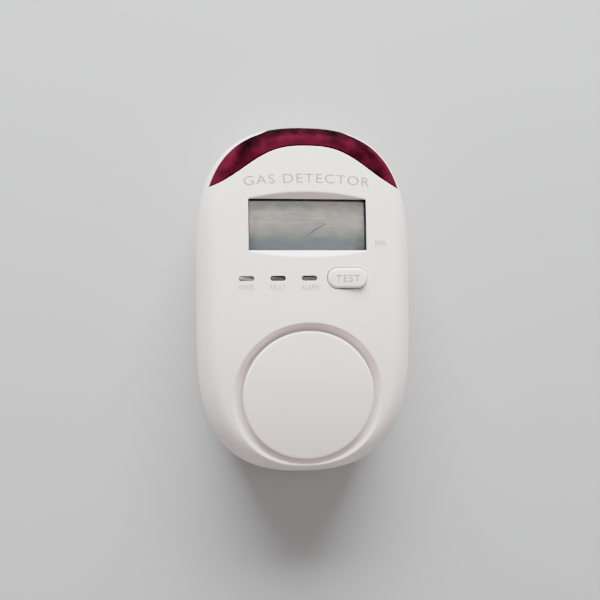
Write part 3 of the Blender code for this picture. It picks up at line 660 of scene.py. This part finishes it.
def rectangle_points(half_x, half_y, spacing):
    corners = np.array([(half_x, half_y), (-half_x, half_y), (-half_x, -half_y), (half_x, -half_y)], float)
    return resampled(corners + (0, DISPLAY_Y), spacing)


def grid_points(x_range, y_range, step_x, step_y):
    x, y = np.meshgrid(np.arange(*x_range, step_x), np.arange(*y_range, step_y))
    x[1::2] += step_x / 2
    return np.stack([x.ravel(), y.ravel()], axis=1)


def real_loop(points):
    """Points of the face moved to the flat layout."""
    return np.stack(lay_flat(points[:, 0], points[:, 1]), axis=1)


def triangulated(loops, loose):
    """Triangles over all the points that keep every loop's edges."""
    points = list(loose)
    edges = []
    for loop in loops:
        first = len(points)
        points.extend(loop)
        edges += [(first + i, first + (i + 1) % len(loop)) for i in range(len(loop))]
    found = delaunay_2d_cdt([Vector(p) for p in points], edges, [], 0, 1e-4, False)
    return np.array([tuple(v) for v in found[0]]), np.array(found[2])


def skin_mesh(name, flat, triangles, seam, seam_round):
    """The finished surface over the kept triangles."""
    used = np.unique(triangles)
    number = np.zeros(len(flat), int)
    number[used] = np.arange(len(used))
    flat = flat[used]
    distance = np.maximum(np.abs(loop_distance(flat, seam)) - LENS_SEAM, 0)
    points = np.stack(surface(flat[:, 0], flat[:, 1], distance, seam_round), axis=1)
    return mesh_of(name, points, number[triangles].tolist())


def thicken(obj, thickness):
    """Gives a surface its thickness, inwards."""
    solidify = obj.modifiers.new("skin", "SOLIDIFY")
    solidify.thickness = thickness * MM
    solidify.offset = -1.0


def front_layout(seam):
    """Loops and loose points that the whole front surface is triangulated from."""
    loops = [offset_loop(seam, d) for d in (-LENS_SEAM, LENS_SEAM)]
    loose = [offset_loop(seam, d) for d in (-0.9, -0.55, -0.35, -0.2, 0.2, 0.35, 0.55, 0.9)]
    loops.append(outline_points(LAYOUT_LOW, 620))
    on_wall = np.array([0.06, 0.14, 0.24, 0.36, 0.6, 1.0, 1.6, 2.3]) + LAYOUT_LOW
    on_roll = np.arange(LAYOUT_LOW + WALL_LAID, EDGE_ROLL + 1, 0.6)
    for laid in np.concatenate([on_wall, on_roll]):
        loose.append(outline_points(laid, 420))
    sounder = (0.0, SOUNDER_Y)
    loops.append(real_loop(ring_points(sounder, DISH_OPENING, 200)))
    for radius in (18.5, 19.4, 19.7, 19.9, 20.0, 20.1, 20.3, *np.arange(20.6, 25.6, 0.2), 26.0, 26.5, 27.0):
        loose.append(real_loop(ring_points(sounder, radius, 420)))
    loops.append(rectangle_points(DISPLAY_HALF_WIDTH, DISPLAY_HALF_HEIGHT, 0.25))
    for more in (0.03, 0.07, 0.13, 0.2, 0.3):
        loose.append(rectangle_points(DISPLAY_HALF_WIDTH + more, DISPLAY_HALF_HEIGHT + more, 0.25))
    loose.append(grid_points((-21.0, 21.0), (DISPLAY_Y + 8.45, DISPLAY_Y + 12.6), 0.3, 0.2))
    loose.append(grid_points((-21.0, 21.0), (DISPLAY_Y - 12.6, DISPLAY_Y - 8.4), 0.3, 0.2))
    for side in (-1, 1):
        span = sorted((side * 18.75, side * 20.0))
        loose.append(grid_points(span, (DISPLAY_Y - 8.4, DISPLAY_Y + 8.4), 0.15, 0.3))
    for length, width, x, y, spacing in (
        (BUTTON_LENGTH, BUTTON_WIDTH, BUTTON_X, BUTTON_Y, 0.2),
        *((SLOT_LENGTH, SLOT_WIDTH, x, INDICATOR_Y, 0.1) for x in INDICATOR_X.values()),
    ):
        clear = GAP if length == BUTTON_LENGTH else 0.0
        loops.append(obround_points(x, y, length + 2 * clear, width + 2 * clear, spacing))
        for more in (0.03, 0.07, 0.12, 0.18, 0.25, 0.35, 0.5):
            far = 2 * (clear + more)
            loose.append(obround_points(x, y, length + far, width + far, spacing * 1.3))
    loose.append(grid_points((-27.0, 27.0), (-52.0, 52.0), 1.0, 0.9))
    return loops, np.concatenate(loose)


def front_pieces(white, ruby):
    """The front cover and the lens, cut from one surface along their seam."""
    seam = resampled(lens_outline(), 0.22)
    loops, loose = front_layout(seam)
    flat, triangles = triangulated(loops, loose)
    middle = flat[triangles].mean(axis=1)
    seam_distance = loop_distance(middle, seam)
    x, y = middle.T
    laid = inset_of(x, y)
    inset = np.where(laid >= EDGE_ROLL, laid, EDGE_ROLL * (1 - np.cos(roll_angle(laid))))
    real_x, real_y = scaled(x, y, laid, inset)
    open_space = (
        (laid < LAYOUT_LOW)
        | (np.hypot(real_x, real_y - SOUNDER_Y) < DISH_OPENING)
        | (np.maximum(np.abs(x) - DISPLAY_HALF_WIDTH, np.abs(y - DISPLAY_Y) - DISPLAY_HALF_HEIGHT) < 0)
        | (button_distance(x, y) < GAP)
    )
    for middle_x in INDICATOR_X.values():
        open_space |= slot_distance(x, y, middle_x) < 0
    cover = triangles[(seam_distance > LENS_SEAM) & ~open_space]
    lens = triangles[seam_distance < -LENS_SEAM]
    cover_mesh = skin_mesh("front_shell", flat, cover, seam, COVER_SEAM_ROUND)
    thicken(finish_piece("front_shell", cover_mesh, white, "case", "front_cover"), SKIN)
    lens_mesh = skin_mesh("ruby_lens", flat, lens, seam, LENS_SEAM_ROUND)
    thicken(finish_piece("ruby_lens", lens_mesh, ruby, "case", "alarm_lens"), LENS_SKIN)


def lofted(name, sections, ring=False):
    """Quads between rings of equal length; a ring of one point closes to a fan."""
    bm = bmesh.new()
    rows = [[bm.verts.new(p) for p in section] for section in sections]
    for first, second in list(zip(rows, rows[1:])) + ([(rows[-1], rows[0])] if ring else []):
        count = max(len(first), len(second))
        for i in range(count):
            j = (i + 1) % count
            corners = [first[i % len(first)], first[j % len(first)]]
            corners += [second[j % len(second)], second[i % len(second)]]
            bm.faces.new(list(dict.fromkeys(corners)))
    return from_bmesh(bm, name)


def arc(start, end, steps, middle, radius_a, radius_b):
    """Points of a quarter round or other arc: (outward, up) from middle."""
    return [
        (middle[0] + radius_a * math.cos(t), middle[1] + radius_b * math.sin(t))
        for t in (math.radians(start + (end - start) * i / steps) for i in range(steps + 1))
    ]


def sounder_disc(white):
    """The sounder's round cover, slightly crowned, with soft edges, on four pins."""
    edge, low_edge = 0.7, 0.3
    top, low = -DISC_SUNK, -DISC_SUNK - DISC_THICKNESS
    profile = [(0.0, top)] + [(r, top) for r in (4.0, 8.0, 12.0, 15.0, 17.0, 18.5, 19.3)]
    profile += arc(90, 0, 8, (DISC_RADIUS - edge, top - edge), edge, edge)
    profile += arc(0, -90, 4, (DISC_RADIUS - low_edge, low + low_edge), low_edge, low_edge)
    profile += [(14.0, low), (0.0, low)]
    sections = []
    for radius, height in profile:
        height -= DISC_CROWN * (radius / DISC_RADIUS) ** 2
        ring = ring_points((0.0, SOUNDER_Y), radius, 240 if radius else 1)
        sections.append([(x, y, float(crown(y)) + height) for x, y in ring])
    finish_piece("sounder_disc", lofted("sounder_disc", sections), white, "case", "sounder_cap")
    shoulder = [(0.0, -1.6), (1.7, -1.6), (1.7, -2.9), (1.5, -3.1)]
    pin = shoulder + [(1.0, -3.1), (1.0, -6.9), (0.8, -7.2), (0.0, -7.2)]
    for i in range(4):
        turn = math.radians(45 + 90 * i)
        x, y = PIN_CIRCLE * math.cos(turn), SOUNDER_Y + PIN_CIRCLE * math.sin(turn)
        face = float(face_height(0.0, y))
        rings = [
            [(px, py, face + height) for px, py in ring_points((x, y), radius, 32 if radius else 1)]
            for radius, height in pin
        ]
        finish_piece(f"sounder_disc_pin_{i + 1}", lofted(f"sounder_disc_pin_{i + 1}", rings), white, "case")


def obround_ring(middle_x, middle_y, length, width, height, count=96):
    """A level ring with the same number of points for every size of obround."""
    points = []
    for i in range(count):
        turn = 2 * math.pi * (i + 0.5) / count
        x = math.copysign((length - width) / 2, math.cos(turn)) + width / 2 * math.cos(turn)
        points.append((middle_x + x, middle_y + width / 2 * math.sin(turn), height))
    return points


def nested_rings(middle_x, middle_y, length, width, profile):
    """Rings of an obround body: profile holds (how far in from the outline, height)."""
    return [
        obround_ring(middle_x, middle_y, length - 2 * inset, width - 2 * inset, height)
        for inset, height in profile
    ]


def test_button(white):
    """The button's pillowed cap, and the flange and stem under it."""
    edge = 0.85
    stem = ring_points((BUTTON_X, BUTTON_Y), STEM_RADIUS, 96)
    flange = [(0.0, FLANGE_LOW), (0.0, FLANGE_HIGH)]
    cap = [(0.0, FLANGE_HIGH), (0.0, BUTTON_TOP - edge)]
    cap += [(edge - c, z) for c, z in arc(0, 84, 9, (0.0, BUTTON_TOP - edge), edge, edge)]
    cap += [(1.6, BUTTON_TOP + 0.02), (2.3, BUTTON_TOP + 0.05), (2.9, BUTTON_TOP + BUTTON_CROWN)]
    sections = [
        [(BUTTON_X, BUTTON_Y, STEM_LOW)],
        *([(x, y, z) for x, y in stem] for z in (STEM_LOW, FLANGE_LOW)),
        *nested_rings(BUTTON_X, BUTTON_Y, FLANGE_LENGTH, FLANGE_WIDTH, flange),
        *nested_rings(BUTTON_X, BUTTON_Y, BUTTON_LENGTH, BUTTON_WIDTH, cap),
        [(BUTTON_X, BUTTON_Y, BUTTON_TOP + BUTTON_CROWN)],
    ]
    finish_piece("test_button", lofted("test_button", sections), white, "button", "self_test_button")


def light_pipes(lenses):
    """The small domed lenses in the three slots, each with its light pipe under it."""
    clear, low, sunk, dome = 0.24, 26.4, 0.35, 0.02
    for name, x in INDICATOR_X.items():
        top = float(face_height(x, INDICATOR_Y)) - sunk
        profile = [(0.0, low), (0.0, top - 0.35), (0.06, top - 0.18)]
        profile += [(0.18, top - 0.06), (0.4, top), (0.6, top + dome)]
        rings = nested_rings(x, INDICATOR_Y, SLOT_LENGTH - clear, SLOT_WIDTH - clear, profile)
        mesh = lofted(f"indicator_lens_{name}", [
            [(x, INDICATOR_Y, low)], *rings, [(x, INDICATOR_Y, top + dome)],
        ])
        finish_piece(mesh.name, mesh, lenses[name], "case", f"light_pipe_{name}")


def display_pieces(clear, dark):
    """The window under the opening, with a dark ring behind it round the glass: painted shade that stands
    in for the shaded gap at the glass's edge.
    """
    def on_plane(x, y, depth):
        return (x, y, float(display_plane(y)) - depth)

    def frame_ring(inset, corner, depth, count=12):
        half_x, half_y = WINDOW_HALF_WIDTH - inset, WINDOW_HALF_HEIGHT - inset
        points = []
        for side_x, side_y, start in ((1, 1, 0), (-1, 1, 90), (-1, -1, 180), (1, -1, 270)):
            for i in range(count + 1):
                turn = math.radians(start + 90 * i / count)
                x = side_x * (half_x - corner) + corner * math.cos(turn)
                y = DISPLAY_Y + side_y * (half_y - corner) + corner * math.sin(turn)
                points.append(on_plane(x, y, depth))
        return points

    window = [
        [on_plane(0.0, DISPLAY_Y, WINDOW_FRONT)],
        frame_ring(0.3, 0.6, WINDOW_FRONT),
        frame_ring(0.1, 0.8, WINDOW_FRONT + 0.1),
        frame_ring(0.0, 0.9, WINDOW_FRONT + 0.3),
        frame_ring(0.0, 0.9, WINDOW_BACK),
        [on_plane(0.0, DISPLAY_Y, WINDOW_BACK)],
    ]
    finish_piece("display_cover", lofted("display_cover", window), clear, "case", "display_window")
    # Painted shade: a dark ring behind the window's edge, seen as a thin dark outline inside the opening
    # where the gap round the glass lies in shade.
    front, back = WINDOW_BACK + 0.05, WINDOW_BACK + 0.25
    shade_ring = [
        frame_ring(0.0, 0.5, front), frame_ring(SHADE_RING_BORDER, 0.3, front),
        frame_ring(SHADE_RING_BORDER, 0.3, back), frame_ring(0.0, 0.5, back),
    ]
    finish_piece("display_painted_shade_ring", lofted("display_painted_shade_ring", shade_ring, ring=True), dark, "case")


def flat_words(name, words):
    """A thin mesh of some words in the built-in typeface."""
    curve = bpy.data.curves.new(name, "FONT")
    curve.body = words
    curve.extrude = 0.01
    curve.space_character = 1.12
    curve.resolution_u = 6
    guide = bpy.data.objects.new(name + "_guide", curve)
    bpy.context.scene.collection.objects.link(guide)
    evaluated = guide.evaluated_get(bpy.context.evaluated_depsgraph_get())
    mesh = bpy.data.meshes.new_from_object(evaluated)
    bpy.data.objects.remove(guide)
    mesh.name = name
    mesh.materials.clear()
    return mesh


def print_label(name, words, middle, size, ink, body="case", arc_radius=0.0, level=None):
    """Words printed on the surface, along an arc if it has a radius: a thin closed layer."""
    mesh = flat_words(name, words)
    points = np.array([tuple(v.co) for v in mesh.vertices])
    low, high = points.min(axis=0), points.max(axis=0)
    share = (points[:, :2] - low[:2]) / (high - low)[:2]
    along = (share[:, 0] - 0.5) * size[0]
    up = (share[:, 1] - 0.5) * size[1]
    if arc_radius:
        turn = along / arc_radius
        x = middle[0] + np.sin(turn) * (arc_radius + up)
        y = middle[1] + np.cos(turn) * (arc_radius + up) - arc_radius
    else:
        x, y = middle[0] + along, middle[1] + up
    base = height_at(x, y) if level is None else np.full(len(x), level)
    z = base + np.where(points[:, 2] > 0, INK_PROUD, -INK_SUNK)
    for vertex, place in zip(mesh.vertices, np.stack([x, y, z], axis=1)):
        vertex.co = Vector(place) * MM
    bm = bmesh.new()
    bm.from_mesh(mesh)
    bmesh.ops.remove_doubles(bm, verts=bm.verts, dist=0.002 * MM)
    bm.to_mesh(mesh)
    bm.free()
    return finish_piece(name, mesh, ink, body)


def labels(ink):
    """Generic words in the photo's places: each has its middle, and its width and height."""
    print_label("label_title", "GAS DETECTOR", (0.0, 37.5), (39.5, 2.9), ink, arc_radius=231.0)
    for name, x, width in (("power", -19.15, 4.75), ("fault", -9.55, 4.75), ("alarm", 0.2, 5.3)):
        print_label(f"label_{name}", name.upper(), (x, 3.8), (width, 1.6), ink)
    print_label("label_unit", "PPM", (22.9, 17.3), (3.5, 2.0), ink)
    top = BUTTON_TOP + BUTTON_CROWN + 0.02
    print_label("label_button", "TEST", (BUTTON_X, BUTTON_Y), (7.4, 2.1), ink, "button", level=top)


# ---------------------------------------------------------------- rear cover

def rear_skin(white):
    """The rear cover's smooth outer wall: its draft, and the round down to the flat back."""
    proud, deep, steps = 0.04, 0.25, 8
    profile = [(deep, REAR_TOP), (0.25, REAR_TOP)]
    profile += [(0.08, REAR_TOP - 0.06), (0.0, REAR_TOP - 0.22), (0.0, REAR_TOP - 1.0)]
    for z in (12.0, 8.0, 5.0, 3.4, REAR_ROUND):
        profile.append((REAR_DRAFT * (REAR_TOP - z) / (REAR_TOP - REAR_ROUND), z))
    for i in range(1, steps + 1):
        turn = math.radians(80.0 * i / steps)
        profile.append((REAR_DRAFT + REAR_ROUND * (1 - math.cos(turn)), REAR_ROUND * (1 - math.sin(turn))))
    profile.append((REAR_DRAFT + REAR_ROUND, 0.6))
    profile += [(REAR_DRAFT + deep + 0.4, REAR_ROUND), (REAR_DRAFT * 0.5 + deep, 8.0)]
    sections = []
    way_x, way_y = outline_way(np.linspace(0, 2 * math.pi, 480, endpoint=False))
    for inset, z in profile:
        half_x, half_y = HALF_WIDTH - inset + proud, HALF_LENGTH - inset + proud
        sections.append([(a * half_x, b * half_y, z) for a, b in zip(way_x, way_y)])
    finish_piece("rear_skin", lofted("rear_skin", sections, ring=True), white, "case")


def display_scratch(dark):
    """The fine scratch across the display's window."""
    steps, spokes = 14, 6
    start, end, bend = Vector((-0.6, 19.6)), Vector((6.2, 23.8)), Vector((-0.175, 0.275))
    thinnest, swell = 0.004, 0.1
    sections = []
    for i in range(steps + 1):
        share = i / steps
        middle = start.lerp(end, share) + bend * math.sin(math.pi * share)
        radius = thinnest + swell * math.sin(math.pi * share) ** 0.6
        level = float(display_plane(middle.y)) - WINDOW_FRONT + 0.02
        section = []
        for j in range(spokes):
            turn = 2 * math.pi * j / spokes
            across, up = radius * math.cos(turn), 0.2 * radius * math.sin(turn)
            section.append((middle.x - 0.52 * across, middle.y + 0.85 * across, level + up))
        sections.append(section)
    first, last = ([tuple(np.mean(section, axis=0))] for section in (sections[0], sections[-1]))
    finish_piece("display_scratch", lofted("display_scratch", [first, *sections, last]), dark, "case")


# ---------------------------------------------------------------- CAD pieces that stay

LOOKS = {
    "white": ("rear_cover", "battery_door", "lcd_holder"),
    "black": (
        "tactile_switch", "switch_plunger", "sounder", "storage_capacitor", "sounder_coil",
        "microcontroller", "sensor_amplifier", "battery_lead_black",
    ),
    "steel": (
        "clock_crystal", "battery_spring", "case_screw", "board_screw",
        "contact_positive", "contact_negative", "contact_bridge_upper", "contact_bridge_lower",
    ),
    "display": ("lcd_panel",),
    "zebra": ("lcd_contact_strip_upper", "lcd_contact_strip_lower"),
    "board": ("circuit_board",),
    "can": ("co_sensor",),
    "red_wire": ("battery_lead_red",),
    "green": ("indicator_led_power",),
    "smoke": ("indicator_led_fault", "indicator_led_alarm"),
    "ruby": ("alarm_led_left", "alarm_led_right"),
    "cell": ("battery_cell_1", "battery_cell_3"),
    "turned_cell": ("battery_cell_2",),
}


def dress(materials):
    """Materials and soft edges for the CAD pieces that stay in view."""
    look_of = {name: look for look, names in LOOKS.items() for name in names}
    for name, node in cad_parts.items():
        look = look_of.get(name) or look_of.get(name.rstrip("_0123456789"))
        if look is None:
            continue
        node.data.materials.clear()
        node.data.materials.append(materials[look])
        if name in ("battery_door", "lcd_holder", "tactile_switch", "clock_crystal"):
            bevel = node.modifiers.new("soft_edges", "BEVEL")
            bevel.width = 0.2 * MM
            bevel.segments = 2
            bevel.limit_method = "ANGLE"
            bevel.angle_limit = math.radians(50)


# ---------------------------------------------------------------- stage

def floor_and_light():
    """A plain pale floor, a low soft light beyond the lens end, and a faint one overhead, in metres."""
    mesh = bpy.data.meshes.new("floor")
    half = 3.0
    corners = [(-half, -half, 0), (half, -half, 0), (half, half, 0), (-half, half, 0)]
    mesh.from_pydata(corners, [], [(0, 1, 2, 3)])
    floor = bpy.data.objects.new("floor", mesh)
    bpy.context.scene.collection.objects.link(floor)
    mesh.materials.append(pale_floor())
    for name, place, size, power in (
        ("window_light", (0.0, 0.93, 0.42), (1.0, 0.5), 72.0),
        ("overhead_light", (0.05, 0.10, 1.0), (0.9, 0.9), 4.0),
    ):
        light = bpy.data.lights.new(name, "AREA")
        light.color = (0.97, 0.99, 1.0)
        light.shape = "RECTANGLE"
        light.size, light.size_y = size
        light.energy = power
        lamp = bpy.data.objects.new(name, light)
        bpy.context.scene.collection.objects.link(lamp)
        lamp.location = place
        lamp.rotation_euler = (Vector((0, 0, 0.02)) - Vector(place)).to_track_quat("-Z", "Y").to_euler()
    world = bpy.data.worlds.new("studio")
    world.use_nodes = True
    background = world.node_tree.nodes["Background"]
    background.inputs["Color"].default_value = (1.0, 0.90, 0.87, 1)
    background.inputs["Strength"].default_value = 0.34
    bpy.context.scene.world = world


def camera():
    """Almost straight above the face, a little to the left of its middle, with a slight turn."""
    data = bpy.data.cameras.new("camera")
    data.sensor_width = 36.0
    data.lens = 31.7
    obj = bpy.data.objects.new("camera", data)
    bpy.context.scene.collection.objects.link(obj)
    obj.location = Vector((-18.3, -0.9, 200.0)) * MM
    look = Vector((0.096, 0.005, -1.0)).normalized()
    side = look.cross(Vector((0.01, 1.0, 0.0))).normalized()
    obj.rotation_euler = Matrix((side, side.cross(look), -look)).transposed().to_euler()
    bpy.context.scene.camera = obj


def main():
    white = moulded("warm_white", (0.88, 0.765, 0.755), 0.48)
    ruby = ruby_lens()
    dark = moulded("dark_rubber", (0.015, 0.015, 0.016), 0.6)
    ink = moulded("grey_ink", (0.18, 0.17, 0.17), 0.5)
    smoke = tinted_lens("smoke_lens", (0.05, 0.046, 0.046))
    green = tinted_lens("green_lens", (0.19, 0.18, 0.15))
    grey = tinted_lens("grey_lens", (0.07, 0.065, 0.065))
    materials = {
        "white": white, "ruby": ruby, "black": dark, "green": green, "smoke": smoke,
        "display": display_glass(),
        "board": solder_mask(),
        "steel": brushed("plated_steel", (0.62, 0.61, 0.59)),
        "can": brushed("sensor_can", (0.66, 0.66, 0.65), 0.38),
        "cell": cell_jacket("cell_jacket", *CELL_ENDS),
        "turned_cell": cell_jacket("turned_cell_jacket", *TURNED_CELL_ENDS),
        "zebra": moulded("zebra_rubber", (0.6, 0.38, 0.38), 0.6),
        "red_wire": moulded("red_wire", (0.5, 0.02, 0.02), 0.4),
    }
    front_pieces(white, ruby)
    sounder_disc(white)
    test_button(white)
    light_pipes({"power": green, "fault": smoke, "alarm": grey})
    display_pieces(clear_plastic(), dark)
    display_scratch(dark)
    labels(ink)
    rear_skin(white)
    dress(materials)
    floor_and_light()
    camera()


main()
